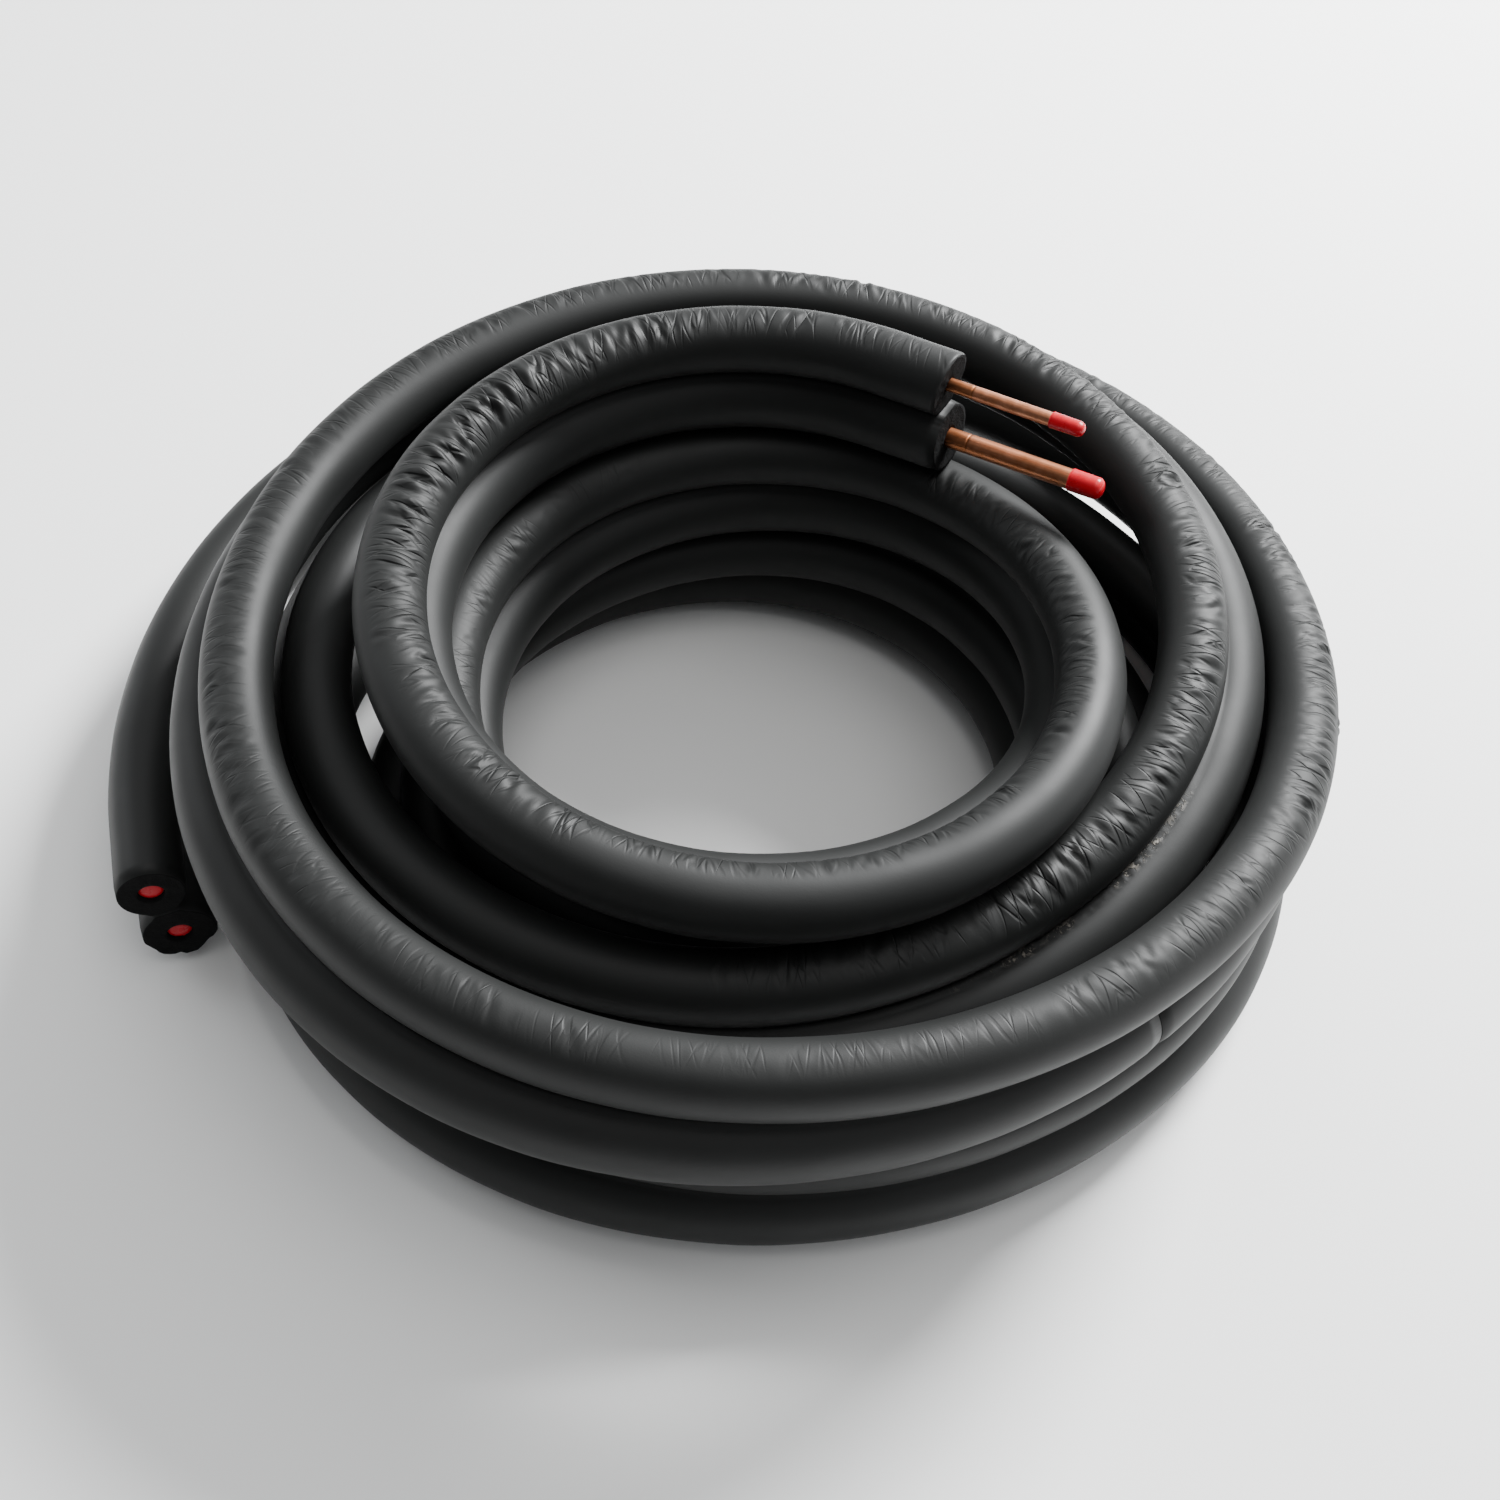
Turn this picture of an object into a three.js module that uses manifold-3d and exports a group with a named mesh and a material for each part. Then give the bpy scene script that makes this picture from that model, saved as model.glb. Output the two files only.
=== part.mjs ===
// A mini split line set: two soft copper pipes, each in its black foam sleeve, bonded side by side
// and wound by hand into one loose coil that lies on the floor. Millimetres, +Z up.
import * as THREE from "three";
import { mergeVertices } from "three/addons/utils/BufferGeometryUtils.js";
import Module from "manifold-3d";

const wasm = await Module();
wasm.setup();

// Copper pipes: the thin one carries the liquid, the thick one is the suction line
const liquidPipeDiameter = 6.35;
const liquidPipeWall = 0.76;
const suctionPipeDiameter = 9.525;
const suctionPipeWall = 0.81;

// Foam sleeves
const foamWall = 11.8;
const foamToCopperGap = 0.3;
const pairGap = 0.4;
const buttJointGap = 0.4;

// Straight runs of the foam, where it is cut off square, before the first turn and after the last
const innerStraight = 34;
const tailStraight = 39;

// Bare pipe between the foam and the mouth of the dust cap, at the coil's inner end
const liquidBareLength = 51;
const suctionBareLength = 62;

// Thin dust caps on the bare pipes
const capWall = 0.6;
const capGrip = 15;
const capToCopperGap = 0.3;

// Wide dust caps sunk in the foam at the tail: one size for both lines, made to go over the
// thicker pipe
const tailCapWall = 0.54;
const tailCapDiameter =
  Math.max(liquidPipeDiameter, suctionPipeDiameter) + 2 * (capToCopperGap + tailCapWall);
const tailCapGrip = 13;
const tailCapRecess = 1.2;
const tailCapToFoamGap = 0.3;

// Winding angle between the solids' sections, and the sides of those sections
const sectionAngle = 15;
const sleeveSides = 10;
const boreSides = 6;
const pipeSides = 6;
const roundSides = 24;

// The lay of the coil, from the bare inner end on top to the tail on the floor. Each row is one
// corner of a smooth B-spline, a sixth of a turn after the last: how far the middle of the pair
// lies from the coil's axis and how high, both in sleeve widths, and its lean in degrees. Without
// lean the liquid line is above the suction line. A positive lean moves the suction line outwards.
const startAngle = 75;
const layAngle = 60;
const lay = [
  [4.06, 5.18, 5],
  [5.01, 4.69, -2],
  [4.93, 4.48, -11],
  [4.35, 4.33, -42],
  [3.82, 4.26, -38],
  [3.80, 3.84, 4],
  [4.19, 3.15, 13],
  [4.44, 2.84, -8],
  [4.33, 2.61, -13],
  [4.01, 2.42, -19],
  [3.71, 2.00, -18],
  [3.87, 1.36, -2],
  [4.32, 1.27, 13],
  [4.67, 0.88, 34],
  [5.14, 0.89, 38],
  [4.87, 0.86, 42],
  [4.87, 0.86, 42],
  [5.47, 0.85, 45],
  [6.14, 0.88, 38],
  [6.43, 0.88, 40],
  [6.94, 0.91, 32],
  [6.17, 1.16, 9],
  [6.09, 1.40, 8],
  [7.39, 0.80, 17],
  [7.22, 1.16, 33],
  [6.76, 2.44, 28],
  [6.29, 2.94, 22],
  [5.17, 2.96, 19],
  [4.65, 3.33, 31],
  [5.94, 4.11, 45],
  [6.64, 4.27, 39],
  [7.01, 3.97, 24],
  [7.30, 3.45, 30],
  [6.83, 3.83, 21],
  [6.10, 3.86, -6],
  [7.04, 2.97, -4],
  [8.84, 2.12, 4],
  [9.39, 0.81, 3],
  [8.42, 1.09, -10],
];

// Where each sleeve has a butt joint between two lengths of foam, in degrees of winding
const liquidJointAngle = 1425;
const suctionJointAngle = 2115;

const liquidSleeveDiameter = liquidPipeDiameter + 2 * (foamToCopperGap + foamWall);
const suctionSleeveDiameter = suctionPipeDiameter + 2 * (foamToCopperGap + foamWall);
const pairSpacing = (liquidSleeveDiameter + suctionSleeveDiameter) / 2 + pairGap;

// The turns nest on each other, so the lay grows with the sleeves. It leaves a liquid sleeve
// nestRatio times less room than a suction sleeve.
const nestRatio = 1.1;
const sleeveWidth = Math.max(liquidSleeveDiameter * nestRatio, suctionSleeveDiameter);

const endAngle = startAngle + layAngle * (lay.length - 1);

// The two tubes of the pair, with the side of the pair's middle that each is on
const LIQUID = { side: 1, pipeDiameter: liquidPipeDiameter, pipeWall: liquidPipeWall };
const SUCTION = { side: -1, pipeDiameter: suctionPipeDiameter, pipeWall: suctionPipeWall };

// One column of the lay at a winding angle, along the uniform cubic B-spline. Beyond each end
// the rows go on in a straight line, so the curve starts and stops on the end rows.
function layAt(column, angle) {
  const row = (i) => {
    if (i < 0) return 2 * lay[0][column] - lay[1][column];
    if (i >= lay.length) return 2 * lay.at(-1)[column] - lay.at(-2)[column];
    return lay[i][column];
  };
  const along = (angle - startAngle) / layAngle;
  const i = THREE.MathUtils.clamp(Math.floor(along), 0, lay.length - 2);
  const t = along - i;
  const before = (1 - t) ** 3 * row(i - 1);
  const here = (3 * t ** 3 - 6 * t ** 2 + 4) * row(i);
  const next = (-3 * t ** 3 + 3 * t ** 2 + 3 * t + 1) * row(i + 1);
  const after = t ** 3 * row(i + 2);
  return (before + here + next + after) / 6;
}

// The middle of the pair at a winding angle.
function pairMiddle(angle) {
  const radius = layAt(0, angle) * sleeveWidth;
  const turn = THREE.MathUtils.degToRad(angle);
  const height = layAt(1, angle) * sleeveWidth;
  return new THREE.Vector3(radius * Math.cos(turn), radius * Math.sin(turn), height);
}

// The direction of a curve at a winding angle, towards the tail.
function directionAlong(pointAt, angle) {
  const small = 0.01;
  const from = pointAt(Math.max(angle - small, startAngle));
  const to = pointAt(Math.min(angle + small, endAngle));
  return to.sub(from).normalize();
}

// The point of one tube's axis: beside the pair's middle, square to the pair's own direction.
function axisPoint(tube, angle) {
  const along = directionAlong(pairMiddle, angle);
  const up = new THREE.Vector3(0, 0, 1).projectOnPlane(along).normalize();
  const outwards = along.clone().cross(up);
  const lean = THREE.MathUtils.degToRad(layAt(2, angle));
  const offset = (tube.side * pairSpacing) / 2;
  return pairMiddle(angle)
    .addScaledVector(up, offset * Math.cos(lean))
    .addScaledVector(outwards, -offset * Math.sin(lean));
}

const axisDirection = (tube, angle) => directionAlong((at) => axisPoint(tube, at), angle);

// A stop on a tube's axis: a winding angle, and how far straight on past it.
const stop = (angle, straightOn = 0) => ({ angle, straightOn });

// The stops between two winding angles, on the sections that all turns share.
function stopsBetween(from, to) {
  const stops = [];
  for (let angle = startAngle; angle <= endAngle; angle += sectionAngle) {
    if (angle > from && angle < to) stops.push(stop(angle));
  }
  return stops;
}

// The axis of one tube through a list of stops. Every section stands exactly at a stop, so a
// pipe and its sleeve bend at the same places.
class TubeAxis extends THREE.Curve {
  constructor(tube, stops) {
    super();
    this.tube = tube;
    this.stops = stops;
  }

  stopAt(t) {
    return this.stops[Math.round(t * (this.stops.length - 1))];
  }

  getPointAt(t) {
    const { angle, straightOn } = this.stopAt(t);
    return axisPoint(this.tube, angle).addScaledVector(this.getTangentAt(t), straightOn);
  }

  getTangentAt(t) {
    return axisDirection(this.tube, this.stopAt(t).angle);
  }
}

// A regular polygon about the origin, corners on the radius.
function polygon(radius, sides) {
  const corners = [];
  for (let i = 0; i < sides; i++) {
    const angle = (2 * Math.PI * i) / sides;
    corners.push(new THREE.Vector2(radius * Math.cos(angle), radius * Math.sin(angle)));
  }
  return corners;
}

// A ring section swept along a tube's stops.
function sweptRing(tube, stops, outerCorners, boreCorners) {
  const section = new THREE.Shape(outerCorners);
  section.holes.push(new THREE.Path(boreCorners));
  const extrudePath = new TubeAxis(tube, stops);
  return new THREE.ExtrudeGeometry(section, { extrudePath, steps: stops.length - 1 });
}

const copperColour = { color: 0xb8714a, roughness: 0.35, metalness: 1 };
const foamColour = { color: 0x2b2f30, roughness: 0.8, metalness: 0 };
const capColour = { color: 0xd41f2a, roughness: 0.4, metalness: 0 };

function piece(name, geometry, colour) {
  const mesh = new THREE.Mesh(geometry, new THREE.MeshStandardMaterial(colour));
  mesh.name = name;
  return mesh;
}

// How far the tail end of a pipe lies behind the cut face of the foam.
const tailPipeDepth = tailCapRecess + capWall + capToCopperGap;

// The whole copper pipe, from its bare inner end to its tail inside the foam.
function copperPipe(name, tube, bareLength) {
  const stops = [
    stop(startAngle, -(innerStraight + bareLength + capGrip)),
    stop(startAngle),
    ...stopsBetween(startAngle, endAngle),
    stop(endAngle),
    stop(endAngle, tailStraight - tailPipeDepth),
  ];
  const radius = tube.pipeDiameter / 2;
  const outer = polygon(radius, pipeSides);
  const bore = polygon(radius - tube.pipeWall, pipeSides);
  return piece(name, sweptRing(tube, stops, outer, bore), copperColour);
}

// The section of a foam sleeve. Its bore's flats clear the pipe.
function sleeveSection(tube) {
  const boreRadius = tube.pipeDiameter / 2 + foamToCopperGap;
  const outer = polygon(boreRadius + foamWall, sleeveSides);
  const bore = polygon(boreRadius / Math.cos(Math.PI / boreSides), boreSides);
  return [outer, bore];
}

// The winding angle that spans half a butt joint's gap on a tube.
function halfJoint(tube, angle) {
  const point = axisPoint(tube, angle);
  return THREE.MathUtils.radToDeg(buttJointGap / 2 / Math.hypot(point.x, point.y));
}

// The foam from the inner end's square cut to the butt joint.
function innerSleeve(name, tube, jointAngle) {
  const to = jointAngle - halfJoint(tube, jointAngle);
  const stops = [
    stop(startAngle, -innerStraight),
    stop(startAngle),
    ...stopsBetween(startAngle, to),
    stop(to),
  ];
  return piece(name, sweptRing(tube, stops, ...sleeveSection(tube)), foamColour);
}

// A closed geometry as a solid that can be cut.
function solidOf(geometry) {
  const bare = geometry.clone().deleteAttribute("normal").deleteAttribute("uv");
  const merged = mergeVertices(bare, 1e-4);
  const vertProperties = merged.getAttribute("position").array;
  const triVerts = new Uint32Array(merged.index.array);
  return new wasm.Manifold(new wasm.Mesh({ numProp: 3, vertProperties, triVerts }));
}

// A solid back as a geometry.
function geometryOf(solid) {
  const { vertProperties, triVerts } = solid.getMesh();
  const geometry = new THREE.BufferGeometry();
  geometry.setAttribute("position", new THREE.BufferAttribute(vertProperties, 3));
  geometry.setIndex(new THREE.BufferAttribute(triVerts, 1));
  geometry.computeVertexNormals();
  return geometry;
}

// Turns a geometry made about the Y axis to lie along a direction, and puts it at a point.
function placed(geometry, point, direction) {
  const turn = new THREE.Quaternion().setFromUnitVectors(new THREE.Vector3(0, 1, 0), direction);
  return geometry.applyQuaternion(turn).translate(point.x, point.y, point.z);
}

const tailFacePoint = (tube) =>
  axisPoint(tube, endAngle).addScaledVector(axisDirection(tube, endAngle), tailStraight);

// The foam from the butt joint to the tail's square cut, with the pocket that holds the wide cap.
function outerSleeve(name, tube, jointAngle) {
  const from = jointAngle + halfJoint(tube, jointAngle);
  const stops = [
    stop(from),
    ...stopsBetween(from, endAngle),
    stop(endAngle),
    stop(endAngle, tailStraight),
  ];
  const sleeve = sweptRing(tube, stops, ...sleeveSection(tube));
  const pocketDepth = tailPipeDepth + tailCapGrip + tailCapToFoamGap;
  const pocketRadius = tailCapDiameter / 2 + tailCapToFoamGap;
  const pocket = new THREE.CylinderGeometry(pocketRadius, pocketRadius, 2 * pocketDepth, roundSides);
  placed(pocket, tailFacePoint(tube), axisDirection(tube, endAngle));
  return piece(name, geometryOf(solidOf(sleeve).subtract(solidOf(pocket))), foamColour);
}

// A dust cap: a cup over the pipe's end with a rounded crown. Its open mouth is at -grip.
function dustCap(name, tube, diameter, grip, pipeEnd, outward) {
  const innerRadius = tube.pipeDiameter / 2 + capToCopperGap;
  const outerRadius = diameter / 2;
  const crownRound = capWall + capToCopperGap;
  const profile = [
    new THREE.Vector2(0, capToCopperGap),
    new THREE.Vector2(innerRadius, capToCopperGap),
    new THREE.Vector2(innerRadius, -grip),
    new THREE.Vector2(outerRadius, -grip),
  ];
  const arcSteps = 4;
  for (let i = 0; i <= arcSteps; i++) {
    const angle = (Math.PI / 2) * (i / arcSteps);
    const x = outerRadius - crownRound * (1 - Math.cos(angle));
    profile.push(new THREE.Vector2(x, crownRound * Math.sin(angle)));
  }
  profile.push(new THREE.Vector2(0, crownRound));
  const cap = placed(new THREE.LatheGeometry(profile, roundSides), pipeEnd, outward);
  return piece(name, cap, capColour);
}

// The thin cap on a bare inner end.
function innerCap(name, tube, bareLength) {
  const outward = axisDirection(tube, startAngle).negate();
  const reach = innerStraight + bareLength + capGrip;
  const pipeEnd = axisPoint(tube, startAngle).addScaledVector(outward, reach);
  const diameter = tube.pipeDiameter + 2 * (capToCopperGap + capWall);
  return dustCap(name, tube, diameter, capGrip, pipeEnd, outward);
}

// The wide cap inside the foam at the tail.
function tailCap(name, tube) {
  const outward = axisDirection(tube, endAngle);
  const pipeEnd = tailFacePoint(tube).addScaledVector(outward, -tailPipeDepth);
  return dustCap(name, tube, tailCapDiameter, tailCapGrip, pipeEnd, outward);
}

const coil = new THREE.Group();
coil.add(copperPipe("liquid_line_copper", LIQUID, liquidBareLength));
coil.add(copperPipe("suction_line_copper", SUCTION, suctionBareLength));
coil.add(innerSleeve("liquid_sleeve_inner_length", LIQUID, liquidJointAngle));
coil.add(outerSleeve("liquid_sleeve_outer_length", LIQUID, liquidJointAngle));
coil.add(innerSleeve("suction_sleeve_inner_length", SUCTION, suctionJointAngle));
coil.add(outerSleeve("suction_sleeve_outer_length", SUCTION, suctionJointAngle));
coil.add(innerCap("liquid_cap_inner_end", LIQUID, liquidBareLength));
coil.add(innerCap("suction_cap_inner_end", SUCTION, suctionBareLength));
coil.add(tailCap("liquid_cap_tail_end", LIQUID));
coil.add(tailCap("suction_cap_tail_end", SUCTION));

// The part's origin is on the floor, under the middle of the coil.
const box = new THREE.Box3().setFromObject(coil);
const middle = box.getCenter(new THREE.Vector3());
coil.position.set(-middle.x, -middle.y, -box.min.z);

const lineSet = new THREE.Group();
lineSet.add(coil);

export default lineSet;
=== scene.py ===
import math

import bpy
import numpy as np
from mathutils import Matrix, Vector


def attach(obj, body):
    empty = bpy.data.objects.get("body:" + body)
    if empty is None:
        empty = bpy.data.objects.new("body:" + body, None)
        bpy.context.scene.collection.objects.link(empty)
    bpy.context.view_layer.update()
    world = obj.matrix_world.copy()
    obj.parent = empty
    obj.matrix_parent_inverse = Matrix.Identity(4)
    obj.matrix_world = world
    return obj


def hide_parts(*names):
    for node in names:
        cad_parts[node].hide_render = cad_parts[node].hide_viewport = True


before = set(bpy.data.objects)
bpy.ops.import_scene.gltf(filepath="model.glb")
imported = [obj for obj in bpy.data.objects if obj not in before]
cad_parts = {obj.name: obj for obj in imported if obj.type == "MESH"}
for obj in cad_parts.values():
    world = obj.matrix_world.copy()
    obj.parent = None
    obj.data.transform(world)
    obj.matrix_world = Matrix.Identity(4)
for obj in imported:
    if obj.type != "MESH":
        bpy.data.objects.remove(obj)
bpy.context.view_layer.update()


# ---- Camera
# The coil lies on the floor and is seen from above the front, at 51 degrees, with the camera
# tipped a little about its own line of sight. The lens is for the 1500 pixel square picture.
view_elevation = math.radians(51.07)
view_roll = math.radians(5.95)
view_distance = 0.7999
view_target = Vector((0.0164, -0.0695, 0.1001))
lens_pixels = 1804
picture_pixels = 1500

camera_data = bpy.data.cameras.new("camera")
camera_data.sensor_width = 36
camera_data.lens = lens_pixels * camera_data.sensor_width / picture_pixels
camera_data.clip_start = 0.01
camera = bpy.data.objects.new("camera", camera_data)
bpy.context.collection.objects.link(camera)
back = Vector((0, -math.cos(view_elevation), math.sin(view_elevation)))
camera.matrix_world = (
    Matrix.Translation(view_target + back * view_distance)
    @ Matrix.Rotation(math.pi / 2 - view_elevation, 4, "X")
    @ Matrix.Rotation(view_roll, 4, "Z")
)
bpy.context.scene.camera = camera


# ---- The lay of the coil
# Two soft copper pipes in foam are wound as one pair, from the bare inner end on top of the coil
# to the tail on the floor. Each row is a corner of a smooth curve, a sixth of a turn after the
# last: radius and height of the pair's middle in sleeve widths, and the pair's lean in degrees.
sleeve_width = 0.033725
start_angle = 75
lay_angle = 60
lay = np.array([
    [4.06, 5.18, 5],
    [5.01, 4.69, -2],
    [4.93, 4.48, -11],
    [4.35, 4.33, -42],
    [3.82, 4.26, -38],
    [3.80, 3.84, 4],
    [4.19, 3.15, 13],
    [4.44, 2.84, -8],
    [4.33, 2.61, -13],
    [4.01, 2.42, -19],
    [3.71, 2.00, -18],
    [3.87, 1.36, -2],
    [4.32, 1.27, 13],
    [4.67, 0.88, 34],
    [5.14, 0.89, 38],
    [4.87, 0.86, 42],
    [4.87, 0.86, 42],
    [5.47, 0.85, 45],
    [6.14, 0.88, 38],
    [6.43, 0.88, 40],
    [6.94, 0.91, 32],
    [6.17, 1.16, 9],
    [6.09, 1.40, 8],
    [7.39, 0.80, 17],
    [7.22, 1.16, 33],
    [6.76, 2.44, 28],
    [6.29, 2.94, 22],
    [5.17, 2.96, 19],
    [4.65, 3.33, 31],
    [5.94, 4.11, 45],
    [6.64, 4.27, 39],
    [7.01, 3.97, 24],
    [7.30, 3.45, 30],
    [6.83, 3.83, 21],
    [6.10, 3.86, -6],
    [7.04, 2.97, -4],
    [8.84, 2.12, 4],
    [9.39, 0.81, 3],
    [8.42, 1.09, -10],
])
end_angle = start_angle + lay_angle * (len(lay) - 1)
inner_straight = 0.034
tail_straight = 0.039
coil_shift = np.array([0.026507, -0.036797, -0.000482])
LIQUID, SUCTION = 1, -1
foam_radius = {LIQUID: 0.015275, SUCTION: 0.0168625}
pipe_radius = {LIQUID: 0.003175, SUCTION: 0.0047625}
pair_spacing = foam_radius[LIQUID] + foam_radius[SUCTION] + 0.0004


def lay_at(angles):
    """The uniform cubic B-spline through the rows: each value is the weighted sum of four rows,
    with weights (1-t)^3, 3t^3-6t^2+4, -3t^3+3t^2+3t+1 and t^3 over six. Past both ends the rows
    go on in a straight line."""
    rows = np.vstack([2 * lay[0] - lay[1], lay, 2 * lay[-1] - lay[-2]])
    along = (angles - start_angle) / lay_angle
    i = np.clip(np.floor(along).astype(int), 0, len(lay) - 2)
    t = (along - i)[:, None]
    before, here = (1 - t) ** 3, 3 * t**3 - 6 * t**2 + 4
    following, after = -3 * t**3 + 3 * t**2 + 3 * t + 1, t**3
    return (before * rows[i] + here * rows[i + 1] + following * rows[i + 2] + after * rows[i + 3]) / 6


def pair_middle(angles):
    """Radius and height at the winding angle, as a point: (r cos a, r sin a, z)."""
    values = lay_at(angles)
    turn = np.radians(angles)
    radius = values[:, 0] * sleeve_width
    height = values[:, 1] * sleeve_width
    return np.stack([radius * np.cos(turn), radius * np.sin(turn), height], axis=1)


def direction_along(point_at, angles):
    """Unit difference of the curve's points a hundredth of a degree to both sides."""
    small = 0.01
    ahead = point_at(np.minimum(angles + small, end_angle))
    behind = point_at(np.maximum(angles - small, start_angle))
    step = ahead - behind
    return step / np.linalg.norm(step, axis=1, keepdims=True)


def upright_frame(along):
    """Up is +Z without its part along the curve, outwards is along x up."""
    up = np.array([0.0, 0.0, 1.0]) - along * along[:, 2:]
    up /= np.linalg.norm(up, axis=1, keepdims=True)
    return up, np.cross(along, up)


def axis_point(tube, angles):
    """The pair's middle, plus half the pair's spacing towards this tube, square to the pair."""
    up, outwards = upright_frame(direction_along(pair_middle, angles))
    lean = np.radians(lay_at(angles)[:, 2:])
    towards = up * np.cos(lean) - outwards * np.sin(lean)
    return pair_middle(angles) + towards * (tube * pair_spacing / 2) + coil_shift


def tube_frame(tube, stations):
    """Points and axes of a tube at stations, each a winding angle and a straight run on past it."""
    angles, straight_on = stations[:, 0], stations[:, 1:]
    along = direction_along(lambda at: axis_point(tube, at), angles)
    up, outwards = upright_frame(along)
    return axis_point(tube, angles) + along * straight_on, along, up, outwards


def stations_between(tube, start, end, step_at):
    """Stations from start to end, each a winding angle and a straight run. The steps between them
    follow step_at, a length for each winding angle: the running sum of length over step is cut at
    whole numbers."""
    angles = np.arange(start[0], end[0], 0.25)
    rough = [np.linspace((start[0], start[1]), (start[0], 0), 60)[:-1]] if start[1] else []
    rough.append(np.stack([angles, 0 * angles], axis=1))
    rough.append(np.linspace((end[0], 0), (end[0], end[1]), 60) if end[1] else np.array([end]))
    rough = np.vstack(rough).astype(float)
    points = tube_frame(tube, rough)[0]
    steps = np.linalg.norm(np.diff(points, axis=0), axis=1)
    middles = (rough[1:, 0] + rough[:-1, 0]) / 2
    count = np.concatenate([[0], np.cumsum(steps / step_at(middles))])
    places = np.linspace(0, count[-1], int(np.ceil(count[-1])) + 1)
    return np.stack([np.interp(places, count, rough[:, 0]), np.interp(places, count, rough[:, 1])], axis=1)


def length_along(points):
    """Running length of a line of points."""
    steps = np.linalg.norm(np.diff(points, axis=0), axis=1)
    return np.concatenate([[0], np.cumsum(steps)])


def mesh_piece(name, vertices, faces, materials, face_material=None, values=None, uv=None):
    """One smooth mesh piece on the root body, from arrays of corners and quads or triangles. values
    are named numbers for each corner, uv is one place for each corner of each face."""
    mesh = bpy.data.meshes.new(name)
    mesh.from_pydata(vertices.tolist(), [], faces if isinstance(faces, list) else faces.tolist())
    for material in materials:
        mesh.materials.append(material)
    mesh.polygons.foreach_set("use_smooth", np.ones(len(mesh.polygons), bool))
    if face_material is not None:
        mesh.polygons.foreach_set("material_index", face_material)
    for label, numbers in (values or {}).items():
        layer = mesh.attributes.new(label, "FLOAT", "POINT")
        layer.data.foreach_set("value", np.ascontiguousarray(numbers, np.float32).ravel())
    if uv is not None:
        layer = mesh.uv_layers.new(name="along")
        layer.data.foreach_set("uv", np.ascontiguousarray(uv, np.float32).ravel())
    mesh.update()
    piece = bpy.data.objects.new(name, mesh)
    bpy.context.collection.objects.link(piece)
    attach(piece, "root")
    return piece


def ring_grid(rows, columns):
    """Quads of a grid of corners that closes on itself both ways, facing outwards."""
    i, j = np.meshgrid(np.arange(rows), np.arange(columns), indexing="ij")
    i2, j2 = (i + 1) % rows, (j + 1) % columns
    corners = [i * columns + j, i * columns + j2, i2 * columns + j2, i2 * columns + j]
    return np.stack(corners, axis=-1).reshape(-1, 4)


# ---- Foam finish
# Black closed-cell foam with a smooth satin skin off the extruder, with faint clouds and fine
# pores, and with creases where it is squeezed; the crease valleys are painted darker as painted
# shade. Where it is cut the cells are open and it is dull.
def new_group(name, inputs, outputs):
    """An empty shader group with float or colour sockets."""
    group = bpy.data.node_groups.new(name, "ShaderNodeTree")
    for label, kind, value in inputs:
        socket = group.interface.new_socket(label, in_out="INPUT", socket_type=kind)
        if value is not None:
            socket.default_value = value
    for label, kind in outputs:
        group.interface.new_socket(label, in_out="OUTPUT", socket_type=kind)
    return group, group.nodes.new("NodeGroupInput"), group.nodes.new("NodeGroupOutput")


def joined(tree, kind, settings=(), **inputs):
    """A node with its settings and with values or links on its named or numbered inputs."""
    node = tree.nodes.new(kind)
    for label, value in settings:
        setattr(node, label, value)
    for label, value in inputs.items():
        socket = node.inputs[int(label[1:])] if label[0] == "_" else node.inputs[label.replace("_", " ")]
        if isinstance(value, bpy.types.NodeSocket):
            tree.links.new(value, socket)
        else:
            socket.default_value = value
    return node


def computed(tree, operation, *values):
    """The result of a Math node, from values or links in the order of its inputs."""
    inputs = {f"_{number}": value for number, value in enumerate(values)}
    return joined(tree, "ShaderNodeMath", (("operation", operation),), **inputs).outputs[0]


def ranged(tree, value, low, high, to_low, to_high):
    """Map Range from low..high to to_low..to_high, clamped."""
    return joined(tree, "ShaderNodeMapRange", _0=value, _1=low, _2=high, _3=to_low, _4=to_high).outputs[0]


grain, grain_in, grain_out = new_group(
    "closed_cell_grain",
    [("Pore Size", "NodeSocketFloat", 900.0), ("Depth", "NodeSocketFloat", 1.0)],
    [("Cloud", "NodeSocketFloat"), ("Height", "NodeSocketFloat")],
)
place = joined(grain, "ShaderNodeTexCoord").outputs["Object"]
cloud = joined(grain, "ShaderNodeTexNoise", Vector=place, Scale=14.0, Detail=4.0, Roughness=0.6)
pore_scale = grain_in.outputs["Pore Size"]
pores = joined(grain, "ShaderNodeTexNoise", Vector=place, Scale=pore_scale, Detail=2.0, Roughness=0.7)
soft = joined(grain, "ShaderNodeTexNoise", Vector=place, Scale=120.0, Detail=3.0, Roughness=0.5)
fine = computed(grain, "MULTIPLY", pores.outputs["Fac"], grain_in.outputs["Depth"])
height = computed(grain, "MULTIPLY_ADD", soft.outputs["Fac"], 0.8, fine)
grain.links.new(cloud.outputs["Fac"], grain_out.inputs["Cloud"])
grain.links.new(height, grain_out.inputs["Height"])


def new_material(name):
    """An empty material with its Principled shader."""
    material = bpy.data.materials.new(name)
    material.use_nodes = True
    return material, material.node_tree, material.node_tree.nodes["Principled BSDF"]


def grouped(tree, group, **inputs):
    """A group node with its own values."""
    node = tree.nodes.new("ShaderNodeGroup")
    node.node_tree = group
    for label, value in inputs.items():
        node.inputs[label.replace("_", " ")].default_value = value
    return node


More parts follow.
